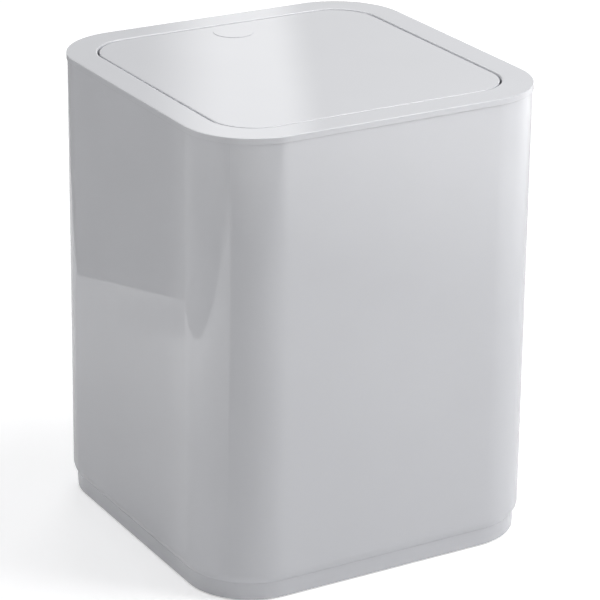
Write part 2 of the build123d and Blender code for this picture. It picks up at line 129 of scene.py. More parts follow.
# Table. White matt laminate: flat and even, with a grain just too fine to see. Its gloss-only pools of light
# lie left of the bin, beyond the edge of the bin's own shadow, and in front of it.
slant = across * -0.528 + away * -0.849      # square to what the flat left wall mirrors
pool_rise = [(0.07, 0.0), (0.30, 1.23)]      # lit side: its slow rise along the slant
pool_edge = [(0.100, 0.0), (0.112, 0.25)]    # and its sharp edge near the bin
shade_fall = [(-0.10, 0.38), (0.05, 0.0)]    # shaded side: it fades away from the camera
shade_heading = math.radians(-154.5)         # where the bin's own shadow cuts the lit side off
shade_blur = 0.012                           # half the width of that cut, as a sine
pool_middle = studio_point(0.0, -0.10)
pool_start = 0.15                            # both sides fade in between these distances from it
pool_full = 0.40
shade_spot = studio_point(-0.350, 0.100)      # painted shade: a soft dark spot in the table's gloss-only light, just past the table's edge
dark_core = 0.010
dark_rim = 0.050
table_level = 0.08                           # what the gloss sees of the table everywhere else
table_grain = 900.0                          # grains to the metre
table_glow = 0.40                            # brings the bare table to white for the camera
table_paint = bpy.data.materials.new("table_matt_white")
tree = blank_tree(table_paint)
rays = add_node(tree, "LightPath").outputs
spot = add_node(tree, "TexCoord").outputs["Object"]
grain = add_node(tree, "TexNoise", {"Scale": table_grain, "Detail": 2.0}, {"Vector": spot})
tone = add_node(tree, "ValToRGB", links={"Fac": grain})
tone.color_ramp.elements[0].color = linear("#F0F0F1")
tone.color_ramp.elements[1].color = linear("#F4F4F5")
matt = add_node(tree, "BsdfDiffuse", links={"Color": tone})
from_middle = add_node(tree, "VectorMath", {1: pool_middle}, {0: spot}, operation="DISTANCE").outputs["Value"]
fade_in = add_node(tree, "MapRange", {"From Min": pool_start, "From Max": pool_full}, {"Value": from_middle},
                   interpolation_type="SMOOTHSTEP")
lit_side = add_node(tree, "Math", links={0: fade_in, 1: level_along(tree, spot, slant, pool_rise),
                                         2: level_along(tree, spot, slant, pool_edge)},
                    operation="MULTIPLY_ADD")
shaded_side = add_node(tree, "Math", links={0: fade_in, 1: level_along(tree, spot, away, shade_fall)},
                       operation="MULTIPLY")
heading = add_node(tree, "VectorMath", links={0: spot}, operation="NORMALIZE")
past_cut = across * math.cos(shade_heading) - away * math.sin(shade_heading)
lit = level_along(tree, heading, past_cut, [(-shade_blur, 0.0), (shade_blur, 1.0)])
pool = add_node(tree, "Mix", links={"Factor": lit, "A": shaded_side, "B": lit_side})
pool = add_node(tree, "Math", {1: table_level}, {0: pool}, operation="ADD")
# Painted shade: the gloss-only light of the table dims to nothing at the spot's core.
from_spot = add_node(tree, "VectorMath", {1: shade_spot}, {0: spot}, operation="DISTANCE").outputs["Value"]
clear = add_node(tree, "MapRange", {"From Min": dark_core, "From Max": dark_rim}, {"Value": from_spot},
                 interpolation_type="SMOOTHSTEP")
pool = add_node(tree, "Math", links={0: pool, 1: clear}, operation="MULTIPLY")
pool = add_node(tree, "Math", links={0: pool, 1: rays["Is Glossy Ray"]}, operation="MULTIPLY")
glow = add_node(tree, "Math", {1: table_glow}, {0: rays["Is Camera Ray"], 2: pool}, operation="MULTIPLY_ADD")
light = add_node(tree, "Emission", {"Color": (1.0, 1.0, 1.0, 1.0)}, {"Strength": glow})
both = add_node(tree, "AddShader", links={0: matt, 1: light})
add_node(tree, "OutputMaterial", links={"Surface": both})
reach = 6.0
card("table", [(-reach, -reach), (reach, -reach), (reach, reach), (-reach, reach)], table_paint)


# Boards. Lit from within, they lie past the left, right and near edges of the table. Only the gloss sees
# them: the camera, the soft light and the shadows pass them by.
def board_paint(name, toward, stops, fading=()):
    """Lit board: its brightness follows its stops along a direction of the table, times its fading, if it
    has any, along the line that leads away from the camera."""
    material = bpy.data.materials.new(name)
    tree = blank_tree(material)
    spot = add_node(tree, "TexCoord").outputs["Object"]
    level = level_along(tree, spot, toward, stops)
    if fading:
        level = add_node(tree, "Math", links={0: level, 1: level_along(tree, spot, away, fading)},
                         operation="MULTIPLY")
    face = add_node(tree, "Emission", {"Color": (1.0, 1.0, 1.0, 1.0)}, {"Strength": level})
    add_node(tree, "OutputMaterial", links={"Surface": face})
    return material


lift_off = 0.0004                            # the boards lie just clear of the floor
near_left = (-0.371, -0.637)                 # near corners of the table, and where its sides lead to
near_right = (0.421, -0.575)
far_left = (-0.439, reach)
far_right = (0.421, reach)
left_paint = board_paint("board_dark", slant,
                         [(0.100, 0.3), (0.112, 0.6), (0.19, 0.9), (0.55, 1.15), (0.75, 1.8)])
right_paint = board_paint("board_bright", across, [(0.32, 0.9), (0.67, 3.1)],
                          fading=[(-0.20, 1.0), (0.05, 0.70)])
near_paint = board_paint("board_pale", away, [(-0.95, 3.3), (-0.62, 1.2)])
for name, corners, paint in (
        ("board_left", [near_left, far_left, (-reach, reach), (-reach, near_left[1])], left_paint),
        ("board_right", [near_right, (reach, near_right[1]), (reach, reach), far_right], right_paint),
        ("board_near", [(-reach, near_left[1]), (-reach, -reach), (reach, -reach), (reach, near_right[1]),
                        near_right, near_left], near_paint)):
    board = card(name, [(*corner, lift_off) for corner in corners], paint)
    board.visible_camera = False
    board.visible_diffuse = False
    board.visible_shadow = False
    board.visible_transmission = False


# Walls. Pale and even for the soft light, and white where they are looked at. The gloss sees a wall behind
# the bin with a bright upright strip, a paler band along the floor and a bright ceiling.
fill_level = 0.35                            # their soft light on the bin and the table
wall_level = 0.8                             # the rest are what the gloss sees: the walls all round,
left_wall_level = 0.57                       # the wall behind left of the strip,
strip_level = 1.45                           # the strip,
right_wall_level = 0.77                      # and the wall right of it
strip_left = (-0.061, -0.0265)               # the strip's soft edges, as slopes aside from straight ahead
strip_right = (-0.0727, -0.0552)
strip_lean = -0.21                           # its right edge leans with height
strip_wall = (0.4, 0.6)                      # how straight ahead a ray points where this wall begins
band_level = 1.0                             # the band's extra light, and the heights where it ends
band_end = (0.10, 0.20)
ceiling_level = 2.0                          # the ceiling's, and where it begins
ceiling_start = (0.55, 0.95)
sky = bpy.data.worlds.new("studio_air")
tree = blank_tree(sky)
rays = add_node(tree, "LightPath").outputs
ray = add_node(tree, "TexCoord").outputs["Generated"]
ahead = add_node(tree, "VectorMath", {1: away}, {0: ray}, operation="DOT_PRODUCT").outputs["Value"]
aside = add_node(tree, "VectorMath", {1: across}, {0: ray}, operation="DOT_PRODUCT").outputs["Value"]
aside = add_node(tree, "Math", links={0: aside, 1: ahead}, operation="DIVIDE")
height = add_node(tree, "SeparateXYZ", links={"Vector": ray}).outputs["Z"]
leaning = add_node(tree, "Math", {1: strip_lean}, {0: height, 2: aside}, operation="MULTIPLY_ADD")
rise = add_node(tree, "MapRange", {"From Min": strip_left[0], "From Max": strip_left[1],
                                   "To Min": left_wall_level - wall_level,
                                   "To Max": strip_level - wall_level},
                {"Value": aside}, interpolation_type="SMOOTHSTEP")
fall = add_node(tree, "MapRange", {"From Min": strip_right[0], "From Max": strip_right[1],
                                   "To Min": 0.0, "To Max": right_wall_level - strip_level},
                {"Value": leaning}, interpolation_type="SMOOTHSTEP")
strip = add_node(tree, "Math", links={0: rise, 1: fall}, operation="ADD")
behind = add_node(tree, "MapRange", {"From Min": strip_wall[0], "From Max": strip_wall[1]}, {"Value": ahead})
walls = add_node(tree, "Math", {2: wall_level}, {0: strip, 1: behind}, operation="MULTIPLY_ADD")
band = add_node(tree, "MapRange", {"From Min": band_end[0], "From Max": band_end[1],
                                   "To Min": band_level, "To Max": 0.0},
                {"Value": height}, interpolation_type="SMOOTHSTEP")
ceiling = add_node(tree, "MapRange", {"From Min": ceiling_start[0], "From Max": ceiling_start[1],
                                      "To Min": 0.0, "To Max": ceiling_level},
                   {"Value": height}, interpolation_type="SMOOTHSTEP")
for extra in (band, ceiling):
    walls = add_node(tree, "Math", links={0: walls, 1: extra}, operation="ADD")
strength = add_node(tree, "Mix", {"A": fill_level}, {"Factor": rays["Is Glossy Ray"], "B": walls})
clear_rays = add_node(tree, "Math", links={0: rays["Is Camera Ray"], 1: rays["Is Transmission Ray"]},
                      operation="MAXIMUM")
strength = add_node(tree, "Mix", {"B": 1.0}, {"Factor": clear_rays, "A": strength})
air = add_node(tree, "Background", {"Color": (1.0, 1.0, 1.0, 1.0)}, {"Strength": strength})
add_node(tree, "OutputWorld", links={"Surface": air})
bpy.context.scene.world = sky


# Lamps. Four square softboxes: a large key high on the right, a weaker one behind, and two low fills. The
# near fill is hidden from the gloss, because it stands close enough for the lid to mirror it whole.
bin_middle = Vector((0.0, 0.0, 0.12))


def softbox(name, place, size, watts, mirrored=True):
    """Square diffused lamp at a place given as for studio_point, turned to the middle of the bin."""
    lamp = bpy.data.lights.new(name, "AREA")
    lamp.shape = "SQUARE"
    lamp.size = size
    lamp.energy = watts
    holder = bpy.data.objects.new(name, lamp)
    place = Vector(studio_point(*place))
    aim = (bin_middle - place).to_track_quat("-Z", "Y").to_matrix().to_4x4()
    holder.matrix_world = Matrix.Translation(place) @ aim
    holder.visible_glossy = mirrored
    bpy.context.scene.collection.objects.link(holder)


softbox("key_right", (1.22, -0.06, 1.70), size=1.1, watts=18.6)
softbox("lamp_behind", (0.0, 1.6, 1.6), size=0.8, watts=7.0)
softbox("fill_left", (-0.8, 0.0, 0.9), size=0.5, watts=2.1)
softbox("fill_right", (0.50, -0.15, 0.48), size=0.3, watts=0.88, mirrored=False)


# Outer shell. A square sleeve of ABS, injection moulded in a polished tool whose four side cores part at
# the corners, so each corner carries a hair-fine witness line. Four bosses inside take the base screws.
mm = 0.001                                   # the pieces' own sizes are all in millimetres


def moulded_outline(corners, closed=True, fine=1.0):
    """Section of a moulding, walked with the material on the left, so the right-hand side faces out.

    Each corner is (half width, plan centre, level, rounding). A rounded corner is an arc tangent to both
    its edges: it begins rounding x tan(half the turn) before the corner, and its normal turns evenly from
    one edge's normal to the next one's. A right angle takes 3 + 2 x the root of its rounding steps, times
    fine. Gives columns of half width, plan centre, level, and the normal's two parts, outwards and up.
    """
    corners = np.array(corners, float)
    count = len(corners)
    rows = []
    for k in range(count):
        half, centre, level, rounding = corners[k]
        before = corners[k - 1] if closed or k > 0 else None
        after = corners[(k + 1) % count] if closed or k < count - 1 else None
        here = np.array([half, level])
        come = None if before is None else here - before[[0, 2]]
        leave = None if after is None else after[[0, 2]] - here
        come = leave if come is None else come
        leave = come if leave is None else leave
        come = come / np.hypot(*come)
        leave = leave / np.hypot(*leave)
        turn = math.atan2(come[0] * leave[1] - come[1] * leave[0], float(come @ leave))
        steps = max(1, math.ceil(abs(turn) / (math.pi / 2) * (3 + 2 * math.sqrt(rounding)) * fine))
        angle = np.linspace(0.0, turn, steps + 1)
        out = come[1] * np.cos(angle) + come[0] * np.sin(angle)
        up = come[1] * np.sin(angle) - come[0] * np.cos(angle)
        side = math.copysign(rounding, turn)
        start = here - come * rounding * math.tan(abs(turn) / 2)
        halves = start[0] + side * (out - out[0])
        levels = start[1] + side * (up - up[0])
        rows.append(np.stack([halves, np.full_like(halves, centre), levels, out, up], 1))
    return np.concatenate(rows), closed


def square_path(corner_steps=40, side_steps=8, marks=(), seam=0.0):
    """One walk round a square with round corners, anticlockwise from above.

    Gives the two multipliers of the plan centre, each from -1 to 1, and the angle of the plan normal. Along
    a side one multiplier slides from -1 to 1 at a fixed angle. Round a corner both stay at their ends and
    the angle turns through 90 degrees. Marks are extra places along a side, and a seam adds places within
    that angle of the corner's middle.
    """
    slide = np.union1d(np.linspace(-1.0, 1.0, side_steps + 1), np.round(marks, 6))
    turn = np.linspace(0.0, math.pi / 2, corner_steps + 1)
    if seam:
        turn = np.union1d(turn, math.pi / 4 + seam * np.linspace(-1.0, 1.0, 11))
    turn = turn[1:-1]
    x = np.concatenate([np.ones_like(slide), np.ones_like(turn)])
    y = np.concatenate([slide, np.ones_like(turn)])
    angle = np.concatenate([np.zeros_like(slide), turn])
    quarter = np.arange(4)[:, None]
    cos, sin = np.rint(np.cos(quarter * math.pi / 2)), np.rint(np.sin(quarter * math.pi / 2))
    return (cos * x - sin * y).ravel(), (sin * x + cos * y).ravel(), (angle + quarter * math.pi / 2).ravel()


def round_path(steps=48):
    """One walk round a circle: the plan centre stays on the axis and the angle turns once."""
    angle = np.arange(steps) * 2 * math.pi / steps
    return np.zeros(steps), np.zeros(steps), angle


def carry(outline, path, place=(0.0, 0.0, 0.0), stretch=(0.0, 0.0), along="Z", lift=None, floor=None):
    """Closed form swept by a section carried round a path.

    A point is (plan centre + stretch) x multiplier + (half width - plan centre) x (cos, sin) of the angle,
    and its normal is the section's, turned to that angle. Lift is a small rise of the surface along the
    path, applied to rows that face outwards, whose normals lean back by its slope. Floor is the lowest
    level that the section may reach at each place of the path. An open section is shut at both ends by a
    fan to its middle.
    """
    (half, centre, level, out, up), closed = outline[0].T, outline[1]
    slide_x, slide_y, angle = path
    cos, sin = np.cos(angle), np.sin(angle)
    reach = np.broadcast_to((half - centre)[:, None], (len(half), len(angle)))
    lean = np.zeros_like(reach)
    if lift is not None:
        facing = (out > 0.9).astype(float)[:, None]
        step = (np.roll(angle, -1) - np.roll(angle, 1)) % (2 * math.pi)
        slope = (np.roll(lift, -1) - np.roll(lift, 1)) / np.maximum(step, 0.0001)
        reach = reach + facing * lift
        lean = facing * slope / np.maximum(reach, 1.0)
    x = (centre[:, None] + stretch[0]) * slide_x + reach * cos
    y = (centre[:, None] + stretch[1]) * slide_y + reach * sin
    z = np.broadcast_to(level[:, None], x.shape)
    if floor is not None:
        z = np.maximum(z, floor)
    normal_x = out[:, None] * (cos + lean * sin)
    normal_y = out[:, None] * (sin - lean * cos)
    normal_z = np.broadcast_to(up[:, None], x.shape)
    points = np.stack([x, y, z], -1).reshape(-1, 3)
    normals = np.stack([normal_x, normal_y, normal_z], -1).reshape(-1, 3)
    rows, columns = len(half), len(angle)
    row = np.arange(rows if closed else rows - 1)[:, None]
    above = (row + 1) % rows
    here = np.arange(columns)
    beside = (here + 1) % columns
    faces = np.stack([row * columns + here, row * columns + beside, above * columns + beside,
                      above * columns + here], -1).reshape(-1, 4)
    fans = np.zeros((0, 3), int)
    if not closed:
        low, high = points[:columns], points[-columns:]
        count = len(points)
        points = np.concatenate([points, [low.mean(0), high.mean(0)]])
        normals = np.concatenate([normals, normals[[0, -1]]])
        last = (rows - 1) * columns
        fans = np.concatenate([np.stack([np.full(columns, count), beside, here], -1),
                               np.stack([np.full(columns, count + 1), last + here, last + beside], -1)])
    if along == "X":
        points, normals = points[:, [2, 0, 1]], normals[:, [2, 0, 1]]
    return points + np.array(place), normals, faces, fans


def post(x, y, radius, low, high, hollow=0.0, rounding=0.15, along="Z", steps=32):
    """Round post, or a tube where it is hollow: a rectangle with broken edges carried round a circle."""
    if hollow:
        outline = moulded_outline([(radius, 0, low, rounding), (radius, 0, high, rounding),
                                   (hollow, 0, high, rounding), (hollow, 0, low, rounding)])
    else:
        outline = moulded_outline([(radius / 2, 0, low, 0), (radius, 0, low, rounding),
                                   (radius, 0, high, rounding), (radius / 2, 0, high, 0)], closed=False)
    place = (x, y, 0.0) if along == "Z" else (0.0, x, y)
    return carry(outline, round_path(steps), place=place, along=along)


def block(x_low, x_high, y_low, y_high, z_low, z_high, rounding=0.15):
    """Rectangular bar: a square post with broken edges, as wide as the bar is thin, whose sides are
    stretched apart until they stand the bar's width and length from each other."""
    size = min(x_high - x_low, y_high - y_low) / 2
    centre = size - max(rounding, 0.1)
    outline = moulded_outline([(size / 2 + centre / 2, centre, z_low, 0), (size, centre, z_low, rounding / 2),
                               (size, centre, z_high, rounding / 2),
                               (size / 2 + centre / 2, centre, z_high, 0)], closed=False)
    stretch = ((x_high - x_low) / 2 - size, (y_high - y_low) / 2 - size)
    return carry(outline, square_path(corner_steps=3, side_steps=1),
                 place=((x_low + x_high) / 2, (y_low + y_high) / 2, 0.0), stretch=stretch)


def piece(name, forms, body, node, material):
    """One named piece from its closed forms, given in millimetres, with each form's own normals kept."""
    points, normals, faces, start = [], [], [], 0
    for form_points, form_normals, quads, fans in forms:
        points.append(form_points)
        normals.append(form_normals)
        faces.extend((quads + start).tolist())
        faces.extend((fans + start).tolist())
        start += len(form_points)
    mesh = bpy.data.meshes.new(name)
    mesh.from_pydata((np.concatenate(points) * mm).tolist(), [], faces)
    mesh.normals_split_custom_set_from_vertices(np.concatenate(normals).tolist())
    mesh.materials.append(material)
    made = bpy.data.objects.new(name, mesh)
    bpy.context.scene.collection.objects.link(made)
    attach(made, body)
    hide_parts(node)
    return made


abs_index = 1.53


def moulded_abs():
    """Polished ABS: pearl white, glossy and hard, with the long soft waves of a wall that cooled unevenly
    and a trace of fine orange peel, so reflections run almost straight but never quite."""
    material = bpy.data.materials.new("abs_polished_pearl_white")
    tree = blank_tree(material)
    place = add_node(tree, "TexCoord").outputs["Object"]
    cloud = add_node(tree, "TexNoise", {"Scale": 1 / (60 * mm), "Detail": 2.0}, {"Vector": place})
    tint = add_node(tree, "ValToRGB", links={"Fac": cloud})
    tint.color_ramp.elements[0].position = 0.3
    tint.color_ramp.elements[0].color = linear("#CECFD3")
    tint.color_ramp.elements[1].position = 0.7
    tint.color_ramp.elements[1].color = linear("#D0D1D5")
    haze = add_node(tree, "TexNoise", {"Scale": 1 / (12 * mm), "Detail": 3.0}, {"Vector": place})
    sheen = add_node(tree, "MapRange", {"From Min": 0.3, "From Max": 0.7, "To Min": 0.018, "To Max": 0.028},
                     {"Value": haze})
    wave = add_node(tree, "TexNoise", {"Scale": 1 / (30 * mm), "Detail": 0.0}, {"Vector": place})
    peel = add_node(tree, "TexNoise", {"Scale": 1 / (2 * mm), "Detail": 1.0}, {"Vector": place})
    broad = add_node(tree, "Bump", {"Distance": 0.012 * mm, "Strength": 1.0}, {"Height": wave})
    fine = add_node(tree, "Bump", {"Distance": 0.0003 * mm, "Strength": 1.0},
                    {"Height": peel, "Normal": broad})
    skin = add_node(tree, "BsdfPrincipled", {"IOR": abs_index},
                    {"Base Color": tint, "Roughness": sheen, "Normal": fine})
    add_node(tree, "OutputMaterial", links={"Surface": skin})
    return material


abs_gloss = moulded_abs()
corner_centre = 58.3                         # plan centre of the corner arcs, from the bin's axis
top_half = 94.5                              # top edge, outside and inside, just under the head's hem
top_inner = 91.9
belly_half = 95.435                          # widest place, just above the rounded foot
foot_inner = 92.84                           # inside of the wall where it meets the flange
seam_half = 93.6                             # where the foot meets the plinth
flange_inner = 80.85                         # flange that stands on the plinth round its spigot
top_level = 236.8
belly_level = 12.04
seam_level = 9.7
flange_top = 12.3
foot_rounding = 8.2                          # round foot outside, and the fillet inside it
foot_fillet = 4.0
top_edge = 0.05
seam_edge = 0.14
broken_edge = 0.2                            # every edge that is out of sight
witness_height = 0.035                       # hair-fine line down each corner's middle, between side cores
witness_half_angle = math.radians(0.42)
witness_zone = math.radians(1.2)             # the path takes finer steps this far to each side of it
screw_place = 86.85                          # base screws, one at the middle of each side
screw_places = ((screw_place, 0.0), (0.0, screw_place), (-screw_place, 0.0), (0.0, -screw_place))
boss_radius = 4.5                            # their bosses
boss_bore = 1.9
boss_top = 21.7
boss_root = 12.0                             # inside the flange
shell_path = square_path(seam=witness_zone)
off_witness = np.abs((shell_path[2] % (math.pi / 2)) - math.pi / 4)
witness = witness_height * np.clip(1.0 - (off_witness / witness_half_angle) ** 2, 0.0, 1.0)
shell_wall = carry(moulded_outline([
    (flange_inner, corner_centre, seam_level, broken_edge),
    (seam_half, corner_centre, seam_level, seam_edge),
    (belly_half, corner_centre, belly_level, foot_rounding),
    (top_half, corner_centre, top_level, top_edge),
    (top_inner, corner_centre, top_level, broken_edge),
    (foot_inner, corner_centre, flange_top, foot_fillet),
    (flange_inner, corner_centre, flange_top, broken_edge)]), shell_path, lift=witness)
shell_bosses = [post(x, y, boss_radius, boss_root, boss_top, hollow=boss_bore) for x, y in screw_places]
piece("outer_shell_moulding", [shell_wall] + shell_bosses, "housing", "outer_shell", abs_gloss)


# Base plinth. A shallow ABS pan that closes the shell from below, held by four screws. Its plate has a
# spigot that centres the shell, a square stiffening rib, and round cups for the screws and the feet.
plate_low = 7.3                              # underside of the plate, whose top is at the seam's level
plate_middle = (40.0, 30.0)                  # half width and plan centre of the ring round a plate's middle
skirt_half = 93.2                            # skirt under the plate: outside at its foot, and inside
skirt_inner = 90.7
skirt_foot = 0.6
skirt_edge = 0.5
spigot_half = 80.55
spigot_inner = 78.55
spigot_top = 14.7
soft_edge = 0.3                              # on the spigot, the rib and the cups
bore_edge = 0.15
rib_half = 60.2
rib_inner = 58.2
rib_centre = 46.2
rib_foot = 2.6
hanger_top = 8.5                             # inside the plate, where the rib and the cups begin
plinth_pan = carry(moulded_outline([
    (*plate_middle, plate_low, 0), (skirt_inner, corner_centre, plate_low, skirt_edge),
    (skirt_inner, corner_centre, skirt_foot, broken_edge),
    (skirt_half, corner_centre, skirt_foot, skirt_edge),
    (seam_half, corner_centre, seam_level, seam_edge),
    (spigot_half, corner_centre, seam_level, soft_edge),
    (spigot_half, corner_centre, spigot_top, soft_edge),
    (spigot_inner, corner_centre, spigot_top, soft_edge),
    (spigot_inner, corner_centre, seam_level, skirt_edge),
    (*plate_middle, seam_level, 0)], closed=False),
    square_path(corner_steps=24, side_steps=4))
plinth_rib = carry(moulded_outline([
    (rib_half, rib_centre, rib_foot, soft_edge), (rib_half, rib_centre, hanger_top, 0),
    (rib_inner, rib_centre, hanger_top, 0), (rib_inner, rib_centre, rib_foot, soft_edge)]),
    square_path(corner_steps=12, side_steps=2))


def cup(x, y, radius, bore, roof):
    """Round cup that hangs from the plate, open below: its roof, bore, foot and outside carried round a
    circle."""
    outline = moulded_outline([(bore / 2, 0, roof, 0), (bore, 0, roof, broken_edge),
                               (bore, 0, skirt_foot, bore_edge), (radius, 0, skirt_foot, soft_edge),
                               (radius, 0, hanger_top, 0), (radius / 2, 0, hanger_top, 0)], closed=False)
    return carry(outline, round_path(), place=(x, y, 0.0))


pad_place = 70.2                             # foot pads, one under each corner
screw_cups = [cup(x, y, radius=4.5, bore=3.6, roof=6.7) for x, y in screw_places]
pad_cups = [cup(x, y, radius=9.8, bore=8.0, roof=2.8)
            for x in (-pad_place, pad_place) for y in (-pad_place, pad_place)]
piece("base_plinth_moulding", [plinth_pan, plinth_rib] + screw_cups + pad_cups, "housing", "base_plinth",
      abs_gloss)


# Base screws. Four zinc-plated steel pan heads, driven from below through the plinth's flange cups into
# the shell's bosses. Their solids keep their shape and take the plated finish.
def metal(name, light, dark, rough, grain, depth=0.004, lines=(1.0, 1.0, 1.0), coordinate="Object"):
    """Bare or plated metal: two close tones and a roughness that vary with fine grain. Grain and depth, how
    wide and how deep the marks are, are in millimetres. Lines stretches the grain along an axis, as drawing
    or grinding leaves it."""
    material = bpy.data.materials.new(name)
    tree = blank_tree(material)
    place = add_node(tree, "Mapping", {"Scale": lines},
                     {"Vector": add_node(tree, "TexCoord").outputs[coordinate]})
    noise = add_node(tree, "TexNoise", {"Scale": 1 / (grain * mm), "Detail": 3.0, "Roughness": 0.6},
                     {"Vector": place})
    tint = add_node(tree, "ValToRGB", links={"Fac": noise})
    tint.color_ramp.elements[0].position = 0.25
    tint.color_ramp.elements[0].color = linear(dark)
    tint.color_ramp.elements[1].position = 0.75
    tint.color_ramp.elements[1].color = linear(light)
    sheen = add_node(tree, "MapRange", {"From Min": 0.25, "From Max": 0.75, "To Min": rough[0],
                                        "To Max": rough[1]}, {"Value": noise})
    marks = add_node(tree, "Bump", {"Distance": depth * mm, "Strength": 1.0}, {"Height": noise})
    skin = add_node(tree, "BsdfPrincipled", {"Metallic": 1.0},
                    {"Base Color": tint, "Roughness": sheen, "Normal": marks})
    add_node(tree, "OutputMaterial", links={"Surface": skin})
    return material


def finish(name, material):
    """Give a CAD node its finish."""
    for slot in nodes[name].material_slots:
        slot.material = material


# Bright zinc over a turned head: pale, faintly blue, with a soft cloudy gloss of about half a millimetre.
zinc_plate = metal("steel_bright_zinc", light="#C9CCD2", dark="#B4B8C0", rough=(0.24, 0.38), grain=0.5)
finish("base_screws", zinc_plate)


# Foot pads. Four discs of EPDM rubber, die cut from sheet and glued into the plinth's cups. They carry the
# bin a little clear of the counter and stop it sliding when the lid is pushed.
def rubber(name, light, dark, rough):
    """Dark rubber: almost no gloss, a bloom of slightly paler patches and a pebbled skin, 0.6 mm from
    pebble to pebble."""
    material = bpy.data.materials.new(name)
    tree = blank_tree(material)
    place = add_node(tree, "TexCoord").outputs["Object"]
    bloom = add_node(tree, "TexNoise", {"Scale": 1 / (4 * mm), "Detail": 4.0}, {"Vector": place})
    tint = add_node(tree, "ValToRGB", links={"Fac": bloom})
    tint.color_ramp.elements[0].position = 0.3
    tint.color_ramp.elements[0].color = linear(dark)
    tint.color_ramp.elements[1].position = 0.7
    tint.color_ramp.elements[1].color = linear(light)
    pebble = add_node(tree, "TexNoise", {"Scale": 1 / (0.6 * mm), "Detail": 2.0}, {"Vector": place})
    marks = add_node(tree, "Bump", {"Distance": 0.04 * mm, "Strength": 1.0}, {"Height": pebble})
    skin = add_node(tree, "BsdfPrincipled", {"IOR": 1.5, "Roughness": rough},
                    {"Base Color": tint, "Normal": marks})
    add_node(tree, "OutputMaterial", links={"Surface": skin})
    return material


pad_rubber = rubber("rubber_epdm_grey", light="#4B4C4E", dark="#3E3F41", rough=0.72)
for end in ("front", "back"):
    for side in ("left", "right"):
        finish("foot_pad_" + end + "_" + side, pad_rubber)


# Inner bucket. Polypropylene, moulded in a spark-eroded tool, so it is satin and evenly grained. It stands
# on the plinth inside the spigot, with a turned-down rim, a foot ring and two ears for the bail.
def grained_plastic(name, light, dark, rough, grain, depth, index):
    """Satin moulded plastic: a fine even pebble from a spark-eroded tool, over long faint flow clouds in the
    colour. Grain and depth are the pebble's, in millimetres, and it is drawn two to three times as coarse
    as the real 0.2 mm so that it shows."""
    material = bpy.data.materials.new(name)
    tree = blank_tree(material)
    place = add_node(tree, "TexCoord").outputs["Object"]
    flow = add_node(tree, "TexNoise", {"Scale": 1 / (45 * mm), "Detail": 2.0, "Distortion": 0.6},
                    {"Vector": place})
    tint = add_node(tree, "ValToRGB", links={"Fac": flow})
    tint.color_ramp.elements[0].position = 0.3
    tint.color_ramp.elements[0].color = linear(dark)
    tint.color_ramp.elements[1].position = 0.7
    tint.color_ramp.elements[1].color = linear(light)
    pebble = add_node(tree, "TexNoise", {"Scale": 1 / (grain * mm), "Detail": 2.0, "Roughness": 0.55},
                      {"Vector": place})
    sheen = add_node(tree, "MapRange", {"From Min": 0.3, "From Max": 0.7, "To Min": rough[0],
                                        "To Max": rough[1]}, {"Value": pebble})
    marks = add_node(tree, "Bump", {"Distance": depth * mm, "Strength": 1.0}, {"Height": pebble})
    skin = add_node(tree, "BsdfPrincipled", {"IOR": index},
                    {"Base Color": tint, "Roughness": sheen, "Normal": marks})
    add_node(tree, "OutputMaterial", links={"Surface": skin})
    return material


polypropylene_index = 1.49
finish("inner_bucket", grained_plastic("polypropylene_satin_grey", light="#B9BBBF", dark="#B4B6BA",
                                       rough=(0.36, 0.5), grain=0.5, depth=0.02, index=polypropylene_index))


# Bucket bail. Stainless wire, 3 mm, bent to the bucket's plan. Its ends turn inwards through the ears and
# are peened over, so it swings up and cannot pull out.
bail_level = 202.2
bail_reach = 87.05                           # from the bin's axis to the wire's, on three sides
corner_bend = 32.0
ear_bend = 2.6                               # where the wire turns in through an ear
wire_radius = 1.5
wire_end = 81.85
wire_steps = 20                              # facets round the wire
peened_radius = 2.2
peened_height = 0.6
peened_edge = 0.25


def wire(route, radius, level, steps):
    """Round wire along a rounded line in plan.

    A point is the line's point + radius x (cos turn x the line's own normal, sin turn upwards). Both ends
    are shut by a fan to their middle.
    """
    x, _, y, out_x, out_y = route[0].T
    turn = np.arange(steps) * 2 * math.pi / steps
    cos, sin = np.cos(turn), np.sin(turn)
    normals = np.stack([out_x[:, None] * cos, out_y[:, None] * cos,
                        np.broadcast_to(sin, (len(x), steps))], -1)
    centre = np.stack([x, y, np.full_like(x, level)], -1)[:, None, :]
    points = (centre + radius * normals).reshape(-1, 3)
    row = np.arange(len(x) - 1)[:, None]
    here = np.arange(steps)
    beside = (here + 1) % steps
    faces = np.stack([row * steps + here, (row + 1) * steps + here, (row + 1) * steps + beside,
                      row * steps + beside], -1).reshape(-1, 4)
    last = (len(x) - 1) * steps
    count = len(points)
    fans = np.concatenate([np.stack([np.full(steps, count), here, beside], -1),
                           np.stack([np.full(steps, count + 1), last + beside, last + here], -1)])
    points = np.concatenate([points, centre[[0, -1], 0]])
    ends = np.array([[1.0, 0.0, 0.0], [1.0, 0.0, 0.0]])
    ends = ends * np.sign(centre[0, 0, 0] - centre[-1, 0, 0]) * np.array([[-1.0], [1.0]])
    return points, np.concatenate([normals.reshape(-1, 3), ends]), faces, fans


bail_route = moulded_outline([
    (wire_end, 0, 0.0, 0), (bail_reach, 0, 0.0, ear_bend), (bail_reach, 0, -bail_reach, corner_bend),
    (-bail_reach, 0, -bail_reach, corner_bend), (-bail_reach, 0, 0.0, ear_bend), (-wire_end, 0, 0.0, 0)],
    closed=False, fine=2.5)
bail_wire = wire(bail_route, wire_radius, bail_level, wire_steps)
bail_heads = [post(0.0, bail_level, peened_radius, low, low + peened_height, rounding=peened_edge, along="X")
              for low in (wire_end - peened_height, -wire_end)]
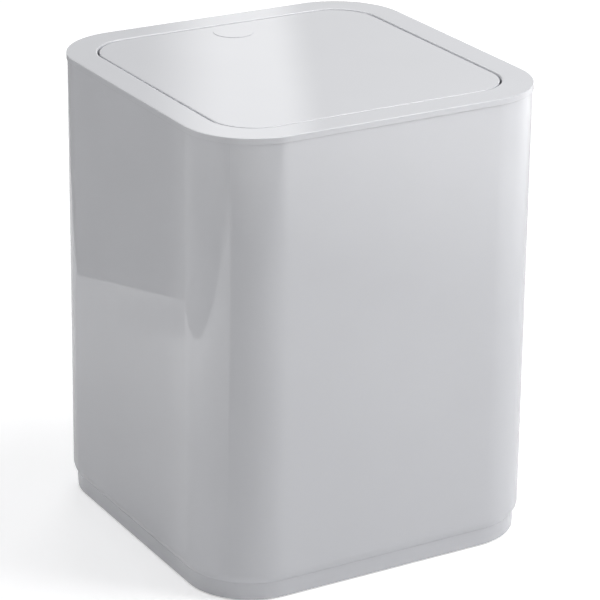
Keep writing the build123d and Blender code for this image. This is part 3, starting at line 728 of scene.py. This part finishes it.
# Drawn stainless: cool grey with fine bright lines that follow the wire. They are about a tenth of a
# millimetre apart on real wire, and are drawn four times as far apart so that they show.
drawn_stainless = metal("stainless_drawn_wire", light="#C4C5C7", dark="#A9ABAE", rough=(0.2, 0.34),
                        grain=0.4, lines=(0.04, 1.0, 1.0), coordinate="UV")
bail = piece("bucket_bail_wire", [bail_wire] + bail_heads, "bail", "bucket_bail",
             drawn_stainless)
# The UV map holds each point's length along the wire and its length round it, in metres.
stretches = np.hypot(np.diff(bail_route[0][:, 0]), np.diff(bail_route[0][:, 2]))
along_wire = np.concatenate([[0.0], np.cumsum(stretches)])
round_wire = np.arange(wire_steps) * 2 * math.pi / wire_steps * wire_radius
on_wire = len(along_wire) * wire_steps
where = np.zeros((len(bail.data.vertices), 2))
where[:on_wire, 0] = np.repeat(along_wire, wire_steps) * mm
where[:on_wire, 1] = np.tile(round_wire, len(along_wire)) * mm
corner_vertex = np.zeros(len(bail.data.loops), int)
bail.data.loops.foreach_get("vertex_index", corner_vertex)
bail.data.uv_layers.new(name="along_wire").data.foreach_set("uv", where[corner_vertex].ravel())


# Bail grip. A polypropylene sleeve moulded round the wire's front run, with soft edges and rounded ends,
# for lifting the bucket.
grip_end = 31.0
grip_level = 202.8
grip_half = 3.5                              # half its height, and how much deeper it is front to back
grip_deeper = 0.5
grip_corner = 1.1                            # plan centre of its soft edges
grip_rounding = 0.9
grip_middle = 2.0
bail_handle = carry(moulded_outline([
    (grip_middle, grip_corner, -grip_end, 0), (grip_half, grip_corner, -grip_end, grip_rounding),
    (grip_half, grip_corner, grip_end, grip_rounding), (grip_middle, grip_corner, grip_end, 0)],
    closed=False), square_path(corner_steps=8, side_steps=2), stretch=(grip_deeper, 0.0), along="X",
    place=(0.0, -bail_reach, grip_level))
grip_plastic = grained_plastic("polypropylene_satin_mid_grey", light="#8F9194", dark="#898B8E",
                               rough=(0.4, 0.55), grain=0.4, depth=0.02, index=polypropylene_index)
piece("bail_grip_moulding", [bail_handle], "bail", "bail_grip", grip_plastic)


# Head frame. The rim that lifts off with the lid: polished ABS, with the mouth wall, the locating skirt,
# eight ribs and the two pivot bosses moulded in one with it. Its solid keeps its shape.
finish("head_frame", abs_gloss)


# Pivot pins. Two ground stainless pins pressed into the head's bosses from outside, on which the lid swings.
# They are brighter than the wire, with hair-fine lines along them that are drawn coarser so that they show.
ground_steel = metal("stainless_ground_pin", light="#CFD0D2", dark="#BCBEC1", rough=(0.16, 0.26), grain=0.3,
                     depth=0.002, lines=(0.05, 1.0, 1.0))
for side in ("left", "right"):
    finish("pivot_pin_" + side, ground_steel)


# Lid panel. The flush push lid: an ABS plate with a short skirt that drops over the pivot pins, ribs and
# screw bosses underneath, and a bare raised roundel near its back edge.
lid_centre = 56.3                            # plan centre of the lid's corner arcs
lid_half = 79.0
lid_inner = 76.8
lid_top = 239.8
plate_under = 237.3
lid_joint = 229.7                            # foot of the skirt
lid_edge = 0.6
under_edge = 0.5
pivot_level = 232.2
slot_half = 3.0                              # arched slot that drops over each pin, and the step beside it
slot_step = 0.02
arch_steps = 17
brace_place = 45.0                           # ribs and bosses, from the lid's middle
brace_half = 0.7
brace_end = 77.5
brace_low = 233.3
rooted = 238.0                               # inside the plate, where ribs and bosses end
lid_boss_radius = 3.8
lid_boss_bore = 1.65
lid_boss_low = 229.0
roundel_place = 65.5
roundel_radius = 10.5
roundel_inner = 8.0
roundel_root = 239.0
roundel_top = 239.99
roundel_edge = 0.03
arch = slot_half * np.sin(np.linspace(-1.0, 1.0, arch_steps) * math.pi / 2)
slot_marks = np.concatenate([arch, [-slot_half - slot_step, slot_half + slot_step]]) / lid_centre
lid_path = square_path(corner_steps=32, marks=slot_marks)
beside_pin = np.abs(lid_path[1]) * lid_centre
on_pin_side = np.abs(np.sin(lid_path[2])) < 0.001
# The slot's roof is pivot level + the root of (slot half squared - distance beside the pin squared).
slot_roof = np.where(on_pin_side & (beside_pin <= slot_half + 0.001),
                     pivot_level + np.sqrt(np.maximum(slot_half ** 2 - beside_pin ** 2, 0.0)), lid_joint)
lid_shell = carry(moulded_outline([
    (*plate_middle, plate_under, 0), (lid_inner, lid_centre, plate_under, under_edge),
    (lid_inner, lid_centre, lid_joint, broken_edge), (lid_half, lid_centre, lid_joint, broken_edge),
    (lid_half, lid_centre, lid_top, lid_edge), (*plate_middle, lid_top, 0)], closed=False),
    lid_path, floor=slot_roof)
brace_places = (-brace_place, brace_place)
lid_ribs = [block(-brace_end, brace_end, y - brace_half, y + brace_half, brace_low, rooted)
            for y in brace_places]
lid_ribs += [block(x - brace_half, x + brace_half, -brace_end, brace_end, brace_low, rooted)
             for x in brace_places]
lid_bosses = [post(x, y, lid_boss_radius, lid_boss_low, rooted, hollow=lid_boss_bore)
              for x in brace_places for y in brace_places]
roundel = carry(moulded_outline([
    (roundel_inner, 0, roundel_root, 0), (roundel_radius, 0, roundel_root, 0),
    (roundel_radius, 0, roundel_top, roundel_edge), (roundel_inner, 0, roundel_top, 0)], closed=False),
    round_path(steps=96), place=(0.0, roundel_place, 0.0))
piece("lid_panel_moulding", [lid_shell] + lid_ribs + lid_bosses + [roundel], "lid", "lid_panel",
      abs_gloss)


# Under-tray. The lower half of the lid, moulded in ABS with a fine matt grain, carries the pivot bushes in
# two ears and the counterweight in a tube along its keel. Its solid keeps its shape.
finish("lid_carrier", grained_plastic("abs_fine_matt", light="#CFD0D4", dark="#CACBCF", rough=(0.3, 0.42),
                                      grain=0.4, depth=0.012, index=abs_index))


# Tray screws. Four small pan heads of zinc-plated steel, driven up through the tray into the lid's bosses,
# which hold the lid's two halves together round the pins.
finish("carrier_screws", zinc_plate)


# Pivot bushes. Flanged nylon sleeves pressed into the tray's ears, left in the natural cream of the resin,
# so the steel pins run quietly without oil.
nylon = grained_plastic("nylon_natural", light="#E2DED0", dark="#DAD5C5", rough=(0.34, 0.44), grain=0.6,
                        depth=0.006, index=1.53)
for side in ("left", "right"):
    finish("pivot_bush_" + side, nylon)


# Counterweight. A plain zinc-plated steel rod, 8 mm, held in the keel below the pivot, which swings the lid
# back to level. Drawing leaves fine lines down its length, made coarser here so that they show.
finish("counterweight_bar", metal("steel_drawn_zinc", light="#C3C5C9", dark="#A6A8AD", rough=(0.26, 0.4),
                                  grain=0.6, lines=(0.03, 1.0, 1.0)))


# Stop bumpers. Caps of soft black rubber pushed onto the rod's ends. They meet the mouth wall's relieved
# edge when the lid is fully open, and take the knock out of it.
bumper_rubber = rubber("rubber_black", light="#2E2E30", dark="#242426", rough=0.66)
for side in ("left", "right"):
    finish("stop_bumper_" + side, bumper_rubber)
